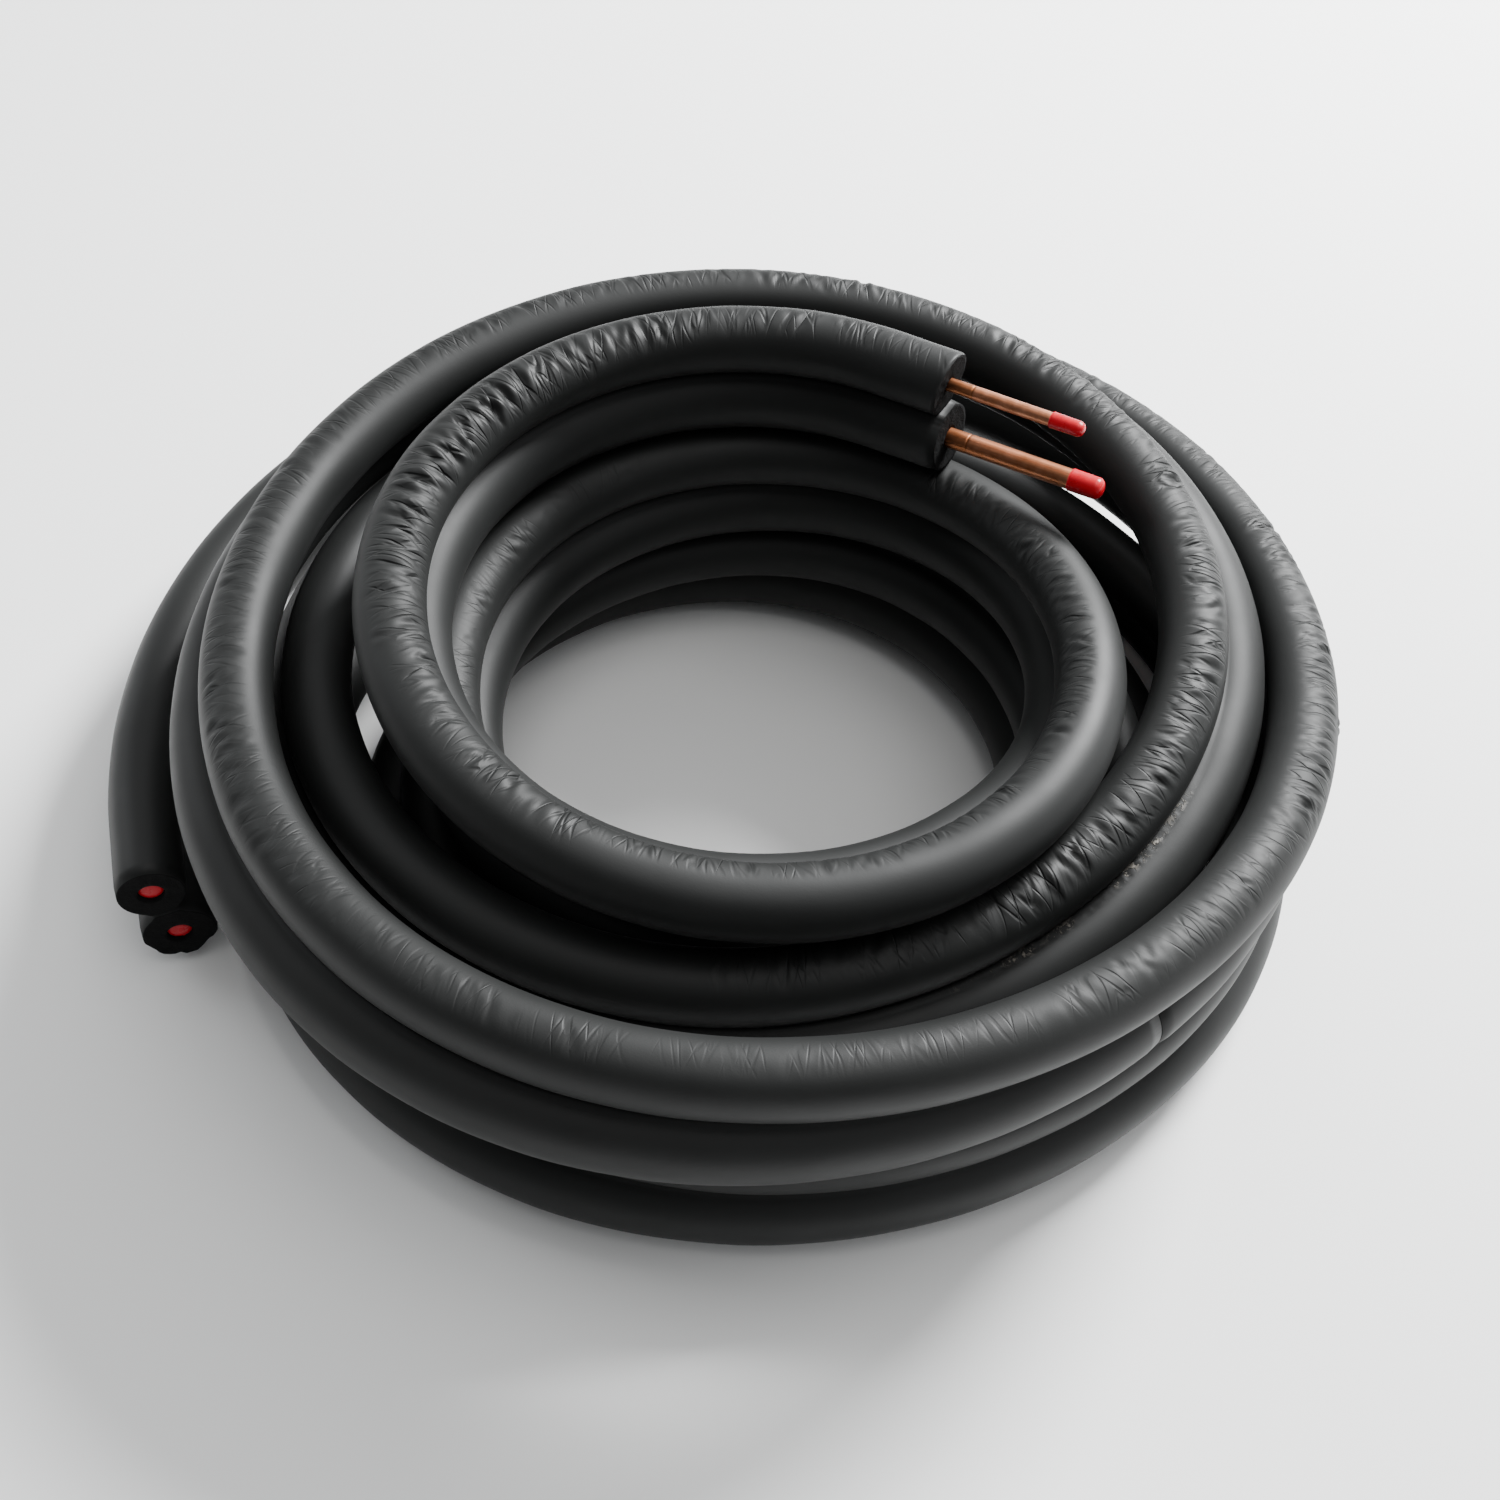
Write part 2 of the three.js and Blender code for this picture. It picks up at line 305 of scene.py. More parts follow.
crease_lines, lines_in, lines_out = new_group(
    "crease_lines",
    [("Slant", "NodeSocketFloat", 0.3), ("Seed", "NodeSocketFloat", 0.0)],
    [("Ridge", "NodeSocketFloat")],
)
surface = joined(crease_lines, "ShaderNodeUVMap", (("uv_map", "along"),)).outputs[0]
slant = joined(crease_lines, "ShaderNodeCombineXYZ", Z=lines_in.outputs["Slant"])
seed = joined(crease_lines, "ShaderNodeCombineXYZ", Z=lines_in.outputs["Seed"])
slanted = joined(crease_lines, "ShaderNodeMapping", Vector=surface, Rotation=slant.outputs[0])
across = joined(
    crease_lines, "ShaderNodeMapping",
    Vector=slanted.outputs[0], Location=seed.outputs[0], Scale=(165.0, 27.0, 1.0),
)
swell = joined(
    crease_lines, "ShaderNodeTexNoise", Vector=across.outputs[0],
    Scale=1.0, Detail=1.2, Roughness=0.35, Distortion=0.12,
)
from_middle = computed(crease_lines, "ABSOLUTE", computed(crease_lines, "SUBTRACT", swell.outputs["Fac"], 0.5))
ridge = joined(
    crease_lines, "ShaderNodeMapRange", (("interpolation_type", "SMOOTHSTEP"),), _0=from_middle, _1=0.0, _2=0.06
)
crease_lines.links.new(ridge.outputs[0], lines_out.inputs["Ridge"])

foam_skin, tree, shader = new_material("foam_skin")
skin_grain = grouped(tree, grain, Pore_Size=1400.0, Depth=0.35)
wrinkled = joined(tree, "ShaderNodeAttribute", (("attribute_name", "wrinkled"),)).outputs["Fac"]
# The creased attribute is a mask of painted shade in the crease valleys and deep folds.
creased = joined(tree, "ShaderNodeAttribute", (("attribute_name", "creased"),)).outputs["Fac"]
torn = joined(tree, "ShaderNodeAttribute", (("attribute_name", "torn"),)).outputs["Fac"]
surface = joined(tree, "ShaderNodeUVMap", (("uv_map", "along"),)).outputs[0]
one_way = grouped(tree, crease_lines, Slant=0.26, Seed=0.0)
other_way = grouped(tree, crease_lines, Slant=-0.22, Seed=7.3)
crossed = computed(tree, "MINIMUM", one_way.outputs["Ridge"], other_way.outputs["Ridge"])
tufts = joined(tree, "ShaderNodeMapping", Vector=surface, Scale=(40.0, 24.0, 1.0))
tufts = joined(tree, "ShaderNodeTexNoise", Vector=tufts.outputs[0], Scale=1.0, Detail=2.0, Roughness=0.6)
tufts = ranged(tree, tufts.outputs["Fac"], 0.36, 0.58, 0.0, 1.0)
reach = computed(tree, "MULTIPLY", tufts, wrinkled)
valley = computed(tree, "MULTIPLY", computed(tree, "SUBTRACT", 1.0, crossed), reach)
tone = joined(tree, "ShaderNodeMix", (("data_type", "RGBA"),), _0=skin_grain.outputs["Cloud"])
tone.inputs[6].default_value = (0.0080, 0.0084, 0.0082, 1)
tone.inputs[7].default_value = (0.0125, 0.0132, 0.0129, 1)
# Painted shade: the crease valleys and the deep folds are mixed towards the near-black colour below.
painted_crease_shade = computed(tree, "MAXIMUM", computed(tree, "MULTIPLY", valley, 0.5), creased)
deep = joined(tree, "ShaderNodeMix", (("data_type", "RGBA"),), _0=painted_crease_shade, _6=tone.outputs[2])
deep.inputs[7].default_value = (0.0030, 0.0032, 0.0032, 1)
object_place = joined(tree, "ShaderNodeTexCoord").outputs["Object"]
crumbs = joined(tree, "ShaderNodeTexNoise", Vector=object_place, Scale=260.0, Detail=4.0, Roughness=0.75)
crumbs = ranged(tree, crumbs.outputs["Fac"], 0.50, 0.57, 0.0, 1.0)
patches = joined(tree, "ShaderNodeTexNoise", Vector=object_place, Scale=48.0, Detail=2.0)
patches = ranged(tree, patches.outputs["Fac"], 0.44, 0.56, 0.0, 1.0)
crumbs = computed(tree, "MULTIPLY", computed(tree, "MULTIPLY", crumbs, patches), torn)
pale = joined(tree, "ShaderNodeMix", (("data_type", "RGBA"),), _0=crumbs, _6=deep.outputs[2])
pale.inputs[7].default_value = (0.30, 0.275, 0.24, 1)
tree.links.new(pale.outputs[2], shader.inputs["Base Color"])
tree.links.new(ranged(tree, skin_grain.outputs["Cloud"], 0.3, 0.7, 0.50, 0.60), shader.inputs["Roughness"])
shader.inputs["Specular IOR Level"].default_value = 0.27
small_bump = joined(tree, "ShaderNodeBump", Strength=0.35, Distance=0.0002, Height=skin_grain.outputs["Height"])
crumb_bump = joined(
    tree, "ShaderNodeBump", Strength=0.8, Distance=0.0008, Height=crumbs, Normal=small_bump.outputs[0]
)
wrinkle_bump = joined(
    tree, "ShaderNodeBump", (("invert", True),), Strength=0.75, Distance=0.0008,
    Height=valley, Normal=crumb_bump.outputs[0],
)
tree.links.new(wrinkle_bump.outputs[0], shader.inputs["Normal"])

foam_cut, tree, shader = new_material("foam_cut")
cut_grain = grouped(tree, grain, Pore_Size=1100.0, Depth=1.6)
tone = joined(tree, "ShaderNodeMix", (("data_type", "RGBA"),), _0=cut_grain.outputs["Cloud"])
tone.inputs[6].default_value = (0.0075, 0.0075, 0.0076, 1)
tone.inputs[7].default_value = (0.0130, 0.0130, 0.0131, 1)
tree.links.new(tone.outputs[2], shader.inputs["Base Color"])
tree.links.new(ranged(tree, cut_grain.outputs["Height"], 0.4, 1.6, 0.75, 0.95), shader.inputs["Roughness"])
shader.inputs["Specular IOR Level"].default_value = 0.07
cut_bump = joined(tree, "ShaderNodeBump", Strength=0.7, Distance=0.0004, Height=cut_grain.outputs["Height"])
tree.links.new(cut_bump.outputs[0], shader.inputs["Normal"])


# ---- Foam sleeves
# Each pipe is threaded through foam tube that is sold in shorter lengths, so each sleeve is two
# lengths with a butt joint between them. The two sleeves are glued side by side. Where the tube
# bends, the foam on top of it is squeezed and its skin creases across.
butt_gap = 0.0004
foam_to_copper = 0.0003
neck_half_width = 0.0065
liquid_joint_angle = 1425
suction_joint_angle = 2115
pocket_radius = 0.0059
pocket_depth = 0.0154
around_count = 52

# Creased stretches: tube, winding angles, crease spacing and depth, and where across the tube's
# top they lie, in degrees towards the outside of the coil, with their half width
creased_stretches = [
    (LIQUID, 72, 108, 0.0060, 0.00062, -6, 32),
    (LIQUID, 104, 138, 0.0040, 0.00085, -10, 38),
    (LIQUID, 130, 206, 0.0030, 0.00112, -20, 46),
    (LIQUID, 198, 246, 0.0042, 0.00080, -26, 40),
    (LIQUID, 244, 300, 0.0080, 0.00045, -34, 26),
    (LIQUID, 290, 345, 0.0048, 0.00070, -44, 24),
    (LIQUID, 340, 425, 0.0044, 0.00075, -36, 28),
    (LIQUID, 480, 560, 0.0090, 0.00035, -36, 22),
    (LIQUID, 1703, 1752, 0.0062, 0.00066, 2, 34),
    (LIQUID, 1742, 1868, 0.0036, 0.00092, 14, 36),
    (LIQUID, 1862, 1900, 0.0044, 0.00062, 12, 32),
    (LIQUID, 1896, 1962, 0.0060, 0.00042, 10, 30),
    (LIQUID, 1955, 2022, 0.0036, 0.00042, 16, 34),
    (LIQUID, 2016, 2062, 0.0090, 0.00030, 4, 28),
    (LIQUID, 2060, 2104, 0.0120, 0.00018, 0, 26),
    (LIQUID, 2098, 2146, 0.0062, 0.00044, 6, 32),
    (LIQUID, 2138, 2196, 0.0040, 0.00090, 22, 36),
    (LIQUID, 2190, 2262, 0.0056, 0.00062, 20, 30),
]

# Single deep folds: tube, winding angle, middle and half length round the tube in degrees, half
# width and depth
single_folds = [
    (LIQUID, 1884, 22, 30, 0.0016, 0.0019),
    (LIQUID, 2158, 74, 16, 0.0012, 0.0016),
    (LIQUID, 1872, 8, 20, 0.0012, 0.0011),
    (LIQUID, 2128, 10, 15, 0.0010, 0.0009),
]

# Where the glue seam is torn open on the pair's outer side
torn_stretch = (1735, 1788)


def smooth(x):
    """0 below 0, 1 above 1, and 3x^2 - 2x^3 between."""
    x = np.clip(x, 0, 1)
    return x * x * (3 - 2 * x)


def stretch_strength(tube, angles):
    """How strongly the skin is creased at a winding angle: each stretch fades in over 6 degrees."""
    total = np.zeros_like(angles)
    for owner, first, last, _, depth, _, _ in creased_stretches:
        if owner == tube:
            fade = smooth((angles - first) / 6) * smooth((last - angles) / 6)
            total = np.maximum(total, fade * depth / 0.00105)
    return total


def torn_strength(angles):
    """1 along the torn seam, fading out over 14 degrees at both ends."""
    first, last = torn_stretch
    return smooth((angles - first) / 14) * smooth((last - angles) / 14)


def add_creases(tube, angles, run, around, radius, crease_shade_mask, random):
    """Each crease is a line across the tube, at s = s0 + slant v + bow v^2 for v across it. It dips
    by depth exp(-(u/w)^2), with u the distance along the tube from that line, and its lips rise
    beside it. Both fade as (1 - v^2)^1.5 towards its ends."""
    folds = []
    for owner, first, last, spacing, depth, centre, half in creased_stretches:
        if owner != tube or last < angles[0] or first > angles[-1]:
            continue
        start, end = np.interp([max(first, angles[0]), min(last, angles[-1])], angles, run)
        for _ in range(int((end - start) / spacing * 1.1)):
            s0 = random.uniform(start, end)
            ease = smooth((s0 - start) / 0.03) * smooth((end - s0) / 0.03)
            middle = centre + half * random.uniform(-0.5, 0.5)
            reach = half * random.uniform(0.55, 1.0)
            width = random.uniform(0.0013, 0.0022)
            dip = depth * random.uniform(0.3, 1.0) * (0.25 + 0.75 * ease)
            slant, bow = random.normal(0, 0.0017), random.normal(0, 0.0008)
            folds.append((s0, middle, reach, width, dip, slant, bow))
    for owner, angle, middle, reach, width, dip in single_folds:
        if owner == tube and angles[0] < angle < angles[-1]:
            folds.append((np.interp(angle, angles, run), middle, reach, width, dip, 0.0012, 0.0006))
    for s0, middle, reach, width, dip, slant, bow in folds:
        low, high = np.searchsorted(run, (s0 - 0.011, s0 + 0.011))
        if high - low < 3:
            continue
        v = (around[None] - math.radians(middle)) / math.radians(reach)
        line = s0 + slant * v + bow * v * v
        u = (run[low:high, None] - line) / width
        fade = np.clip(1 - v * v, 0, None) ** 1.5
        valley = np.exp(-u * u)
        lips = np.exp(-(((u - 2.1) / 1.3) ** 2)) + np.exp(-(((u + 2.1) / 1.3) ** 2))
        radius[low:high] += dip * fade * (0.42 * lips - valley)
        # The valleys are also kept as a mask of painted shade that darkens the foam skin's colour.
        crease_shade_mask[low:high] = np.maximum(crease_shade_mask[low:high], fade * valley * dip / 0.0018)


def gentle_waves(run, around, random, count, size):
    """Slow swells in the foam: a sum of sines along and around the tube."""
    total = np.zeros((len(run), len(around)))
    for _ in range(count):
        wave = random.uniform(30, 160)
        turns = random.integers(0, 4)
        total += np.sin(run[:, None] * wave + turns * around[None] + random.uniform(0, 6.28))
    return total * size / math.sqrt(count)


def foam_sleeve(name, tube, start, end, seed, fine, tail_pocket=False, skew=0.0, ragged=0.0):
    """A foam tube as one closed grid: the skin along the path, the cut face, the bore back, and the
    other cut face. The skin's radius is the foam's, with the creases, and with the glued neck
    towards the other sleeve, where it reaches the plane half way between them. A skewed first cut
    is pushed out by skew at the tube's top and in by as much below, fading over 30 mm. A ragged
    last cut has bites of up to that depth out of its lower edge, a squared sine of the angle."""
    random = np.random.default_rng(seed)
    coarse = 0.0065
    worked = lambda at: np.maximum(stretch_strength(tube, at), torn_strength(at))
    step_at = lambda at: fine + (coarse - fine) * (1 - smooth(worked(at) * 6))
    stations = stations_between(tube, start, end, step_at)
    points, along, up, outwards = tube_frame(tube, stations)
    run = length_along(points)
    turn = 2 * math.pi * np.arange(around_count) / around_count - math.pi
    around = turn - 0.35 * np.sin(turn)

    foam = foam_radius[tube]
    skin = np.full((len(run), around_count), foam)
    crease_shade_mask = np.zeros_like(skin)
    skin += gentle_waves(run, around, random, 9, 0.00008)
    add_creases(tube, stations[:, 0], run, around, skin, crease_shade_mask, random)
    lean = np.radians(lay_at(stations[:, 0])[:, 2:])
    beside = (math.pi - lean) if tube == LIQUID else -lean
    from_partner = around[None] - beside
    sideways = np.abs(foam * np.sin(from_partner))
    neck = smooth((neck_half_width + 0.0012 - sideways) / 0.0024) * (np.cos(from_partner) > 0.3)
    plane = (foam + 0.00017) / np.maximum(np.cos(from_partner), 0.3)
    skin += (plane - skin) * neck
    wrinkled = stretch_strength(tube, stations[:, 0])[:, None] * np.ones_like(skin)
    torn = torn_strength(stations[:, 0])
    outer_side = -1 if tube == LIQUID else 1
    from_neck = np.degrees(np.arctan2(np.sin(from_partner), np.cos(from_partner))) * outer_side
    torn = torn[:, None] * np.exp(-(((from_neck - 25) / 4) ** 2))
    skin += torn * random.normal(-0.0001, 0.0004, skin.shape)
    centres = np.zeros(len(run))
    halves = np.full(len(run), math.radians(36))
    for owner, first, last, _, _, centre, half in creased_stretches:
        inside = (stations[:, 0] >= first) & (stations[:, 0] <= last)
        if owner == tube:
            centres[inside] = math.radians(centre)
            halves[inside] = math.radians(half)
    wrinkled *= smooth(1.4 - np.abs(around[None] - centres[:, None]) / halves[:, None])

    skewed = skew * (1 - smooth(run / 0.03))
    bites = np.sin(2.3 * around + 0.5) ** 2 + 0.25 * np.sin(9.1 * around) ** 2
    skin[-1] -= ragged * bites * smooth(-1.6 * np.cos(around) - 0.1)

    # The cut edges are not quite sharp
    for edge in (run, run[-1] - run):
        skin -= 0.0007 * np.clip(1 - edge / 0.0016, 0, 1)[:, None] ** 2

    def ring(index, radius):
        """One ring of corners about a station."""
        direction = up[index] * np.cos(around)[:, None] + outwards[index] * np.sin(around)[:, None]
        slope = -skewed[index] * np.cos(around)[:, None] * radius / foam
        return points[index] + along[index] * slope + direction * radius

    rows, crease_shade_rows, wrinkle_rows, torn_rows, row_run, row_kind = [], [], [], [], [], []

    def add(row, kind, length, crease_shade_amount=0.0, wrinkle=0.0, tear=0.0):
        rows.append(row)
        row_kind.append(kind)
        row_run.append(length)
        crease_shade_rows.append(np.broadcast_to(crease_shade_amount, around_count))
        wrinkle_rows.append(np.broadcast_to(wrinkle, around_count))
        torn_rows.append(np.broadcast_to(tear, around_count))

    for index in range(len(run)):
        add(ring(index, skin[index][:, None]), 0, run[index], crease_shade_mask[index], wrinkled[index], torn[index])
    bore = pipe_radius[tube] + foam_to_copper
    shares = np.linspace(0, 1, 8)[1:]

    def cut_face(index, hole, side):
        """Rings from the skin in to the hole, with the small hollows that a blade leaves."""
        found = []
        for share in shares:
            radius = skin[index] * (1 - share) + hole * share
            rough = random.normal(0, 0.00016, around_count) * (0 < share < 1)
            found.append(ring(index, radius[:, None]) + along[index] * (rough - side * 0.0002)[:, None])
        return found

    for row in cut_face(-1, pocket_radius if tail_pocket else bore, 1):
        add(row, 1, run[-1])
    back_stations = np.unique(np.searchsorted(run, np.arange(run[-1], 0, -0.012)))[::-1]
    back_stations = back_stations[(back_stations > 0) & (back_stations < len(run) - 1)]
    if tail_pocket:
        deep = int(np.searchsorted(run, run[-1] - pocket_depth))
        add(ring(deep, pocket_radius), 1, run[deep])
        add(ring(deep, bore), 1, run[deep])
        back_stations = back_stations[back_stations < deep]
    for index in back_stations:
        add(ring(index, bore), 1, run[index])
    for row in cut_face(0, bore, -1)[::-1]:
        add(row, 1, run[0])

    vertices = np.concatenate(rows)
    row_count = len(rows)
    faces = ring_grid(row_count, around_count)
    kind = np.array(row_kind)
    face_kind = np.repeat(np.maximum(kind, np.roll(kind, -1)), around_count)
    girth = around * foam
    i, j = np.meshgrid(np.arange(row_count), np.arange(around_count), indexing="ij")
    i2 = (i + 1) % row_count
    lengths = np.array(row_run)
    girth_next = np.append(girth, girth[0] + 2 * math.pi * foam)
    corners = [(i, j), (i, j + 1), (i2, j + 1), (i2, j)]
    uv = np.stack([np.stack([lengths[a], girth_next[b]], axis=-1) for a, b in corners], axis=2)
    piece = mesh_piece(
        name, vertices, faces, [foam_skin, foam_cut], face_kind,
        {
            # creased: the mask of painted shade in the crease valleys
            "creased": np.concatenate(crease_shade_rows),
            "wrinkled": np.concatenate(wrinkle_rows),
            "torn": np.concatenate(torn_rows),
        },
        uv.reshape(-1, 2),
    )
    return piece


def half_joint(tube, angle):
    """The winding angle that spans half a butt joint's gap."""
    point = axis_point(tube, np.array([float(angle)]))[0] - coil_shift
    return math.degrees(butt_gap / 2 / math.hypot(point[0], point[1]))


inner_end, tail_end = (start_angle, -inner_straight), (end_angle, tail_straight)
joint = half_joint(LIQUID, liquid_joint_angle)
piece = foam_sleeve(
    "liquid_foam_inner_length", LIQUID, inner_end, (liquid_joint_angle - joint, 0),
    seed=11, fine=0.00095, skew=0.0026,
)
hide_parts("liquid_sleeve_inner_length")
piece = foam_sleeve(
    "liquid_foam_outer_length", LIQUID, (liquid_joint_angle + joint, 0), tail_end,
    seed=12, fine=0.00135, tail_pocket=True,
)
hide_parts("liquid_sleeve_outer_length")
joint = half_joint(SUCTION, suction_joint_angle)
piece = foam_sleeve(
    "suction_foam_inner_length", SUCTION, inner_end, (suction_joint_angle - joint, 0),
    seed=13, fine=0.0014,
)
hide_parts("suction_sleeve_inner_length")
piece = foam_sleeve(
    "suction_foam_outer_length", SUCTION, (suction_joint_angle + joint, 0), tail_end,
    seed=14, fine=0.0030, tail_pocket=True, ragged=0.0022,
)
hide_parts("suction_sleeve_outer_length")


# ---- Copper pipes
# Soft drawn copper tube, bright pink-orange with fine lines along it from the die. Near the foam a
# tube cutter has scored a ring round each bare end, and the ring and the stretch behind it are a
# little darker. The suction pipe is also painted darker all along, as painted shade.
copper, tree, shader = new_material("drawn_copper")
tube_place = joined(tree, "ShaderNodeUVMap", (("uv_map", "along"),)).outputs[0]
lines = joined(tree, "ShaderNodeMapping", Vector=tube_place, Scale=(25.0, 1500.0, 1.0))
lines = joined(tree, "ShaderNodeTexNoise", Vector=lines.outputs[0], Scale=1.0, Detail=2.0, Roughness=0.6)
object_place = joined(tree, "ShaderNodeTexCoord").outputs["Object"]
stain = joined(tree, "ShaderNodeTexNoise", Vector=object_place, Scale=130.0, Detail=3.0, Roughness=0.6)
stained = ranged(tree, stain.outputs["Fac"], 0.35, 0.7, 0, 1)
tone = joined(tree, "ShaderNodeMix", (("data_type", "RGBA"),), _0=stained)
tone.inputs[6].default_value = (0.62, 0.27, 0.155, 1)
tone.inputs[7].default_value = (0.40, 0.150, 0.070, 1)
darkened_and_shaded = joined(tree, "ShaderNodeAttribute", (("attribute_name", "darkened_and_shaded"),)).outputs["Fac"]
# The darker colour below marks the scored ring and the stretch behind it, and is painted shade on the suction
# pipe.
dark = joined(tree, "ShaderNodeMix", (("data_type", "RGBA"),), _0=darkened_and_shaded, _6=tone.outputs[2])
dark.inputs[7].default_value = (0.27, 0.085, 0.022, 1)
tree.links.new(dark.outputs[2], shader.inputs["Base Color"])
shader.inputs["Metallic"].default_value = 1.0
tree.links.new(ranged(tree, lines.outputs["Fac"], 0.3, 0.7, 0.30, 0.46), shader.inputs["Roughness"])
bump = joined(tree, "ShaderNodeBump", Strength=0.25, Distance=0.0001, Height=lines.outputs["Fac"])
tree.links.new(bump.outputs[0], shader.inputs["Normal"])

pipe_wall = {LIQUID: 0.00076, SUCTION: 0.00081}
bare_length = {LIQUID: 0.051, SUCTION: 0.062}
cap_grip = 0.015
score_place = {LIQUID: 0.0125, SUCTION: 0.0105}
tail_pipe_depth = 0.0012 + 0.0006 + 0.0003


def copper_pipe(name, tube):
    """A round tube wall swept from the bare end to the tail, with the scored ring as a small
    V-shaped dip: depth times 1 - |distance| / half width."""
    reach = inner_straight + bare_length[tube] + cap_grip
    hidden_end = 0.0026
    bare = np.linspace((start_angle, -reach + hidden_end), (start_angle, -inner_straight + 0.01), 170)
    rest = stations_between(
        tube, (start_angle, -inner_straight + 0.012), (end_angle, tail_straight - tail_pipe_depth),
        lambda at: 0.010 + 0 * at,
    )
    stations = np.vstack([bare, rest])
    points, along, up, outwards = tube_frame(tube, stations)
    run = length_along(points)
    count = 28
    around = 2 * math.pi * np.arange(count) / count - math.pi
    direction = up[:, None] * np.cos(around)[None, :, None]
    direction = direction + outwards[:, None] * np.sin(around)[None, :, None]
    run += hidden_end
    from_score = np.abs(run - (reach - inner_straight - score_place[tube]))
    outer = pipe_radius[tube] - 0.00022 * np.clip(1 - from_score / 0.0006, 0, 1)
    inner = pipe_radius[tube] - pipe_wall[tube]
    skin = points[:, None] + direction * outer[:, None, None]
    bore = (points[:, None] + direction * inner)[::-1]
    vertices = np.concatenate([skin, bore]).reshape(-1, 3)
    rows = 2 * len(run)
    lengths = np.concatenate([run, run[::-1]])
    foam_face = reach - inner_straight
    darkened_and_shaded = smooth((lengths - foam_face + score_place[tube]) / 0.001) * 0.6
    # Painted shade: the whole suction pipe is mixed at least 0.35 of the way to the darker colour.
    darkened_and_shaded = np.maximum(darkened_and_shaded, 0.35 if tube == SUCTION else 0)
    darkened_and_shaded = np.repeat(np.maximum(darkened_and_shaded, np.tile(np.clip(1 - from_score / 0.0007, 0, 1), 2)), count)
    i, j = np.meshgrid(np.arange(rows), np.arange(count), indexing="ij")
    i2 = (i + 1) % rows
    girth = np.append(around, math.pi) * pipe_radius[tube]
    corners = [(i, j), (i, j + 1), (i2, j + 1), (i2, j)]
    uv = np.stack([np.stack([lengths[a], girth[b]], axis=-1) for a, b in corners], axis=2)
    faces = ring_grid(rows, count)
    piece = mesh_piece(name, vertices, faces, [copper], None, {"darkened_and_shaded": darkened_and_shaded}, uv.reshape(-1, 2))
    return piece


piece = copper_pipe("liquid_pipe", LIQUID)
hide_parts("liquid_line_copper")
piece = copper_pipe("suction_pipe", SUCTION)
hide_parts("suction_line_copper")


# ---- Dust caps
# Dipped red vinyl caps keep the pipes clean: thin ones pushed over the bare ends, and wider ones
# on the tail that sit just inside the foam. They are soft, glossy and round at the crown.
vinyl, tree, shader = new_material("red_vinyl")
object_place = joined(tree, "ShaderNodeTexCoord").outputs["Object"]
mottle = joined(tree, "ShaderNodeTexNoise", Vector=object_place, Scale=220.0, Detail=3.0, Roughness=0.5)
tone = joined(tree, "ShaderNodeMix", (("data_type", "RGBA"),), _0=mottle.outputs["Fac"])
tone.inputs[6].default_value = (0.42, 0.0015, 0.009, 1)
tone.inputs[7].default_value = (0.60, 0.003, 0.015, 1)
tree.links.new(tone.outputs[2], shader.inputs["Base Color"])
tree.links.new(ranged(tree, mottle.outputs["Fac"], 0.3, 0.7, 0.24, 0.36), shader.inputs["Roughness"])
shader.inputs["Subsurface Weight"].default_value = 0.05
shader.inputs["Subsurface Radius"].default_value = (0.002, 0.0004, 0.0004)
shader.inputs["Specular IOR Level"].default_value = 0.35
bump = joined(tree, "ShaderNodeBump", Strength=0.2, Distance=0.0003, Height=mottle.outputs["Fac"])
tree.links.new(bump.outputs[0], shader.inputs["Normal"])


def turned_cup(name, place, axis, profile):
    """A profile of (distance along the axis, radius) turned about it. Its first and last points
    are on the axis and become single corners."""
    count = 40
    turn = 2 * math.pi * np.arange(count) / count
    first = np.cross(axis, (0, 0, 1.0))
    first /= np.linalg.norm(first)
    second = np.cross(axis, first)
    wheel = np.cos(turn)[:, None] * first + np.sin(turn)[:, None] * second
    rings = [place + axis * x + wheel * r for x, r in profile[1:-1]]
    vertices = np.vstack(rings + [place + axis * profile[0][0], place + axis * profile[-1][0]])
    rows = len(rings)
    j = np.arange(count)
    j2 = (j + 1) % count
    faces = [
        (int(i * count + a), int(i * count + b), int((i + 1) * count + b), int((i + 1) * count + a))
        for i in range(rows - 1) for a, b in zip(j, j2)
    ]
    inside_pole, crown_pole = rows * count, rows * count + 1
    faces += [(inside_pole, int(b), int(a)) for a, b in zip(j, j2)]
    last = (rows - 1) * count
    faces += [(crown_pole, int(last + a), int(last + b)) for a, b in zip(j, j2)]
    piece = mesh_piece(name, vertices, faces, [vinyl])
    return piece


def cap_profile(pipe, outer, grip, crown, shoulder):
    """The cup's section: up the inside wall, over a rolled lip, along the outside and over a
    crown that is a quarter of an ellipse, from the shoulder behind the pipe's end to the tip."""
    inner = pipe + 0.0001
    lip = 0.0002
    section = [
        (0.0003, 0.0), (0.0003, inner * 0.6), (-shoulder * 0.5, inner * 0.93), (-shoulder - 0.0004, inner),
        (-grip + 0.0004, inner), (-grip, inner + lip), (-grip, outer - lip), (-grip + 0.0005, outer + 0.00008),
        (-grip + 0.0012, outer), (-grip * 0.5, outer - 0.00006), (-shoulder - 0.0004, outer - 0.0001),
    ]
    for step in np.linspace(0, math.pi / 2, 9):
        forward = -shoulder + (crown + shoulder) * math.sin(step)
        section.append((forward, (outer - 0.0001) * math.cos(step) ** 0.75))
    section[-1] = (section[-1][0], 0.0)
    return section


def end_place(tube, angle, run):
    """Point and direction on a tube's axis, a straight run past a winding angle."""
    points, along, _, _ = tube_frame(tube, np.array([[float(angle), run]]))
    return points[0], along[0]


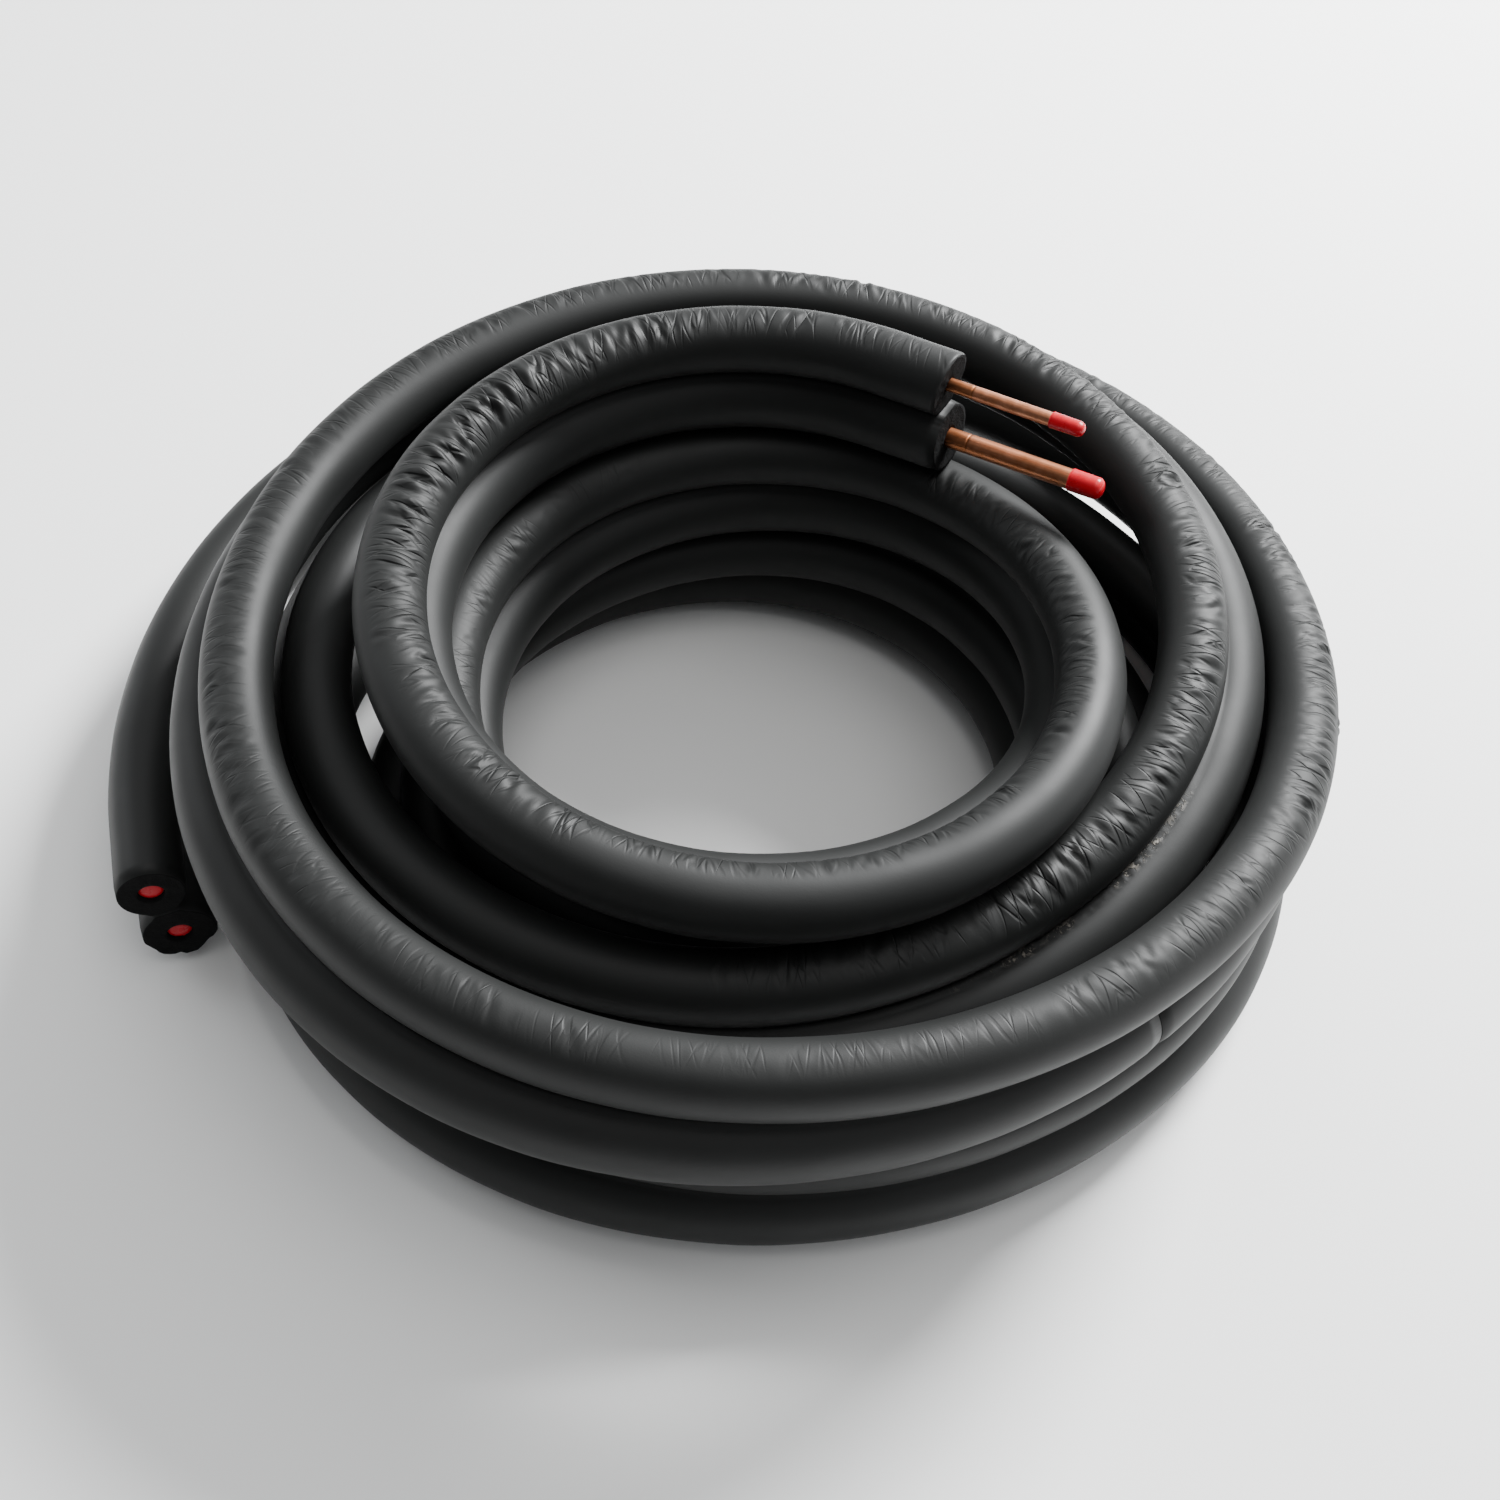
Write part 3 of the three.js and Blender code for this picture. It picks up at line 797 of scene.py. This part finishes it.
for tube, label, cad_name in (
    (LIQUID, "liquid_inner_cap", "liquid_cap_inner_end"),
    (SUCTION, "suction_inner_cap", "suction_cap_inner_end"),
):
    place, along = end_place(tube, start_angle, -(inner_straight + bare_length[tube] + cap_grip))
    pipe = pipe_radius[tube]
    piece = turned_cup(label, place, -along, cap_profile(pipe, pipe + 0.0005, cap_grip, 0.0012, 0.0024))
    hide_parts(cad_name)

for tube, label, cad_name in (
    (LIQUID, "liquid_tail_cap", "liquid_cap_tail_end"),
    (SUCTION, "suction_tail_cap", "suction_cap_tail_end"),
):
    place, along = end_place(tube, end_angle, tail_straight - tail_pipe_depth)
    pipe = pipe_radius[tube]
    piece = turned_cup(label, place, along, cap_profile(pipe, 0.0056, 0.013, 0.0009, 0.0010))
    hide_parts(cad_name)


# ---- Floor and light
# A plain pale studio floor. The main light is a wide soft panel behind the coil and to its right,
# as a high window would be, with a weak one overhead and a weaker one from the left. The room is
# bright towards the window and dim behind the viewer.
floor_mesh = bpy.data.meshes.new("floor")
half = 6.0
floor_corners = [(-half, -half, 0), (half, -half, 0), (half, half, 0), (-half, half, 0)]
floor_mesh.from_pydata(floor_corners, [], [(0, 1, 2, 3)])
floor_mesh.transform(Matrix.Translation((0, 0, -0.0003)))
floor = bpy.data.objects.new("floor", floor_mesh)
bpy.context.collection.objects.link(floor)
floor_paint, tree, shader = new_material("floor_paint")
shader.inputs["Base Color"].default_value = (0.91, 0.91, 0.905, 1)
shader.inputs["Roughness"].default_value = 0.9
floor_mesh.materials.append(floor_paint)

for label, place, size, power, colour in (
    ("window", (1.15, 1.45, 1.60), 1.0, 235, (0.985, 0.995, 1.0)),
    ("overhead", (0.3, -0.2, 2.4), 1.6, 14, (1.0, 0.99, 0.97)),
    ("left_fill", (-2.0, 0.7, 1.0), 1.2, 12, (0.95, 0.98, 1.0)),
):
    lamp = bpy.data.lights.new(label, "AREA")
    lamp.shape = "DISK"
    lamp.size = size
    lamp.energy = power
    lamp.color = colour
    light = bpy.data.objects.new(label, lamp)
    light.location = place
    light.rotation_euler = (Vector(place) - Vector((0, 0, 0.08))).to_track_quat("Z", "Y").to_euler()
    bpy.context.collection.objects.link(light)

world = bpy.data.worlds.new("studio")
world.use_nodes = True
tree = world.node_tree
direction = joined(tree, "ShaderNodeTexCoord").outputs["Generated"]
towards_window = joined(
    tree, "ShaderNodeVectorMath", (("operation", "DOT_PRODUCT"),), _0=direction, _1=(0.5, 0.6, 0.62)
)
brightness = ranged(tree, towards_window.outputs["Value"], -0.2, 1.0, 0.15, 1.2)
tree.links.new(brightness, tree.nodes["Background"].inputs["Strength"])
tree.nodes["Background"].inputs["Color"].default_value = (0.97, 0.985, 1.0, 1)
bpy.context.scene.world = world
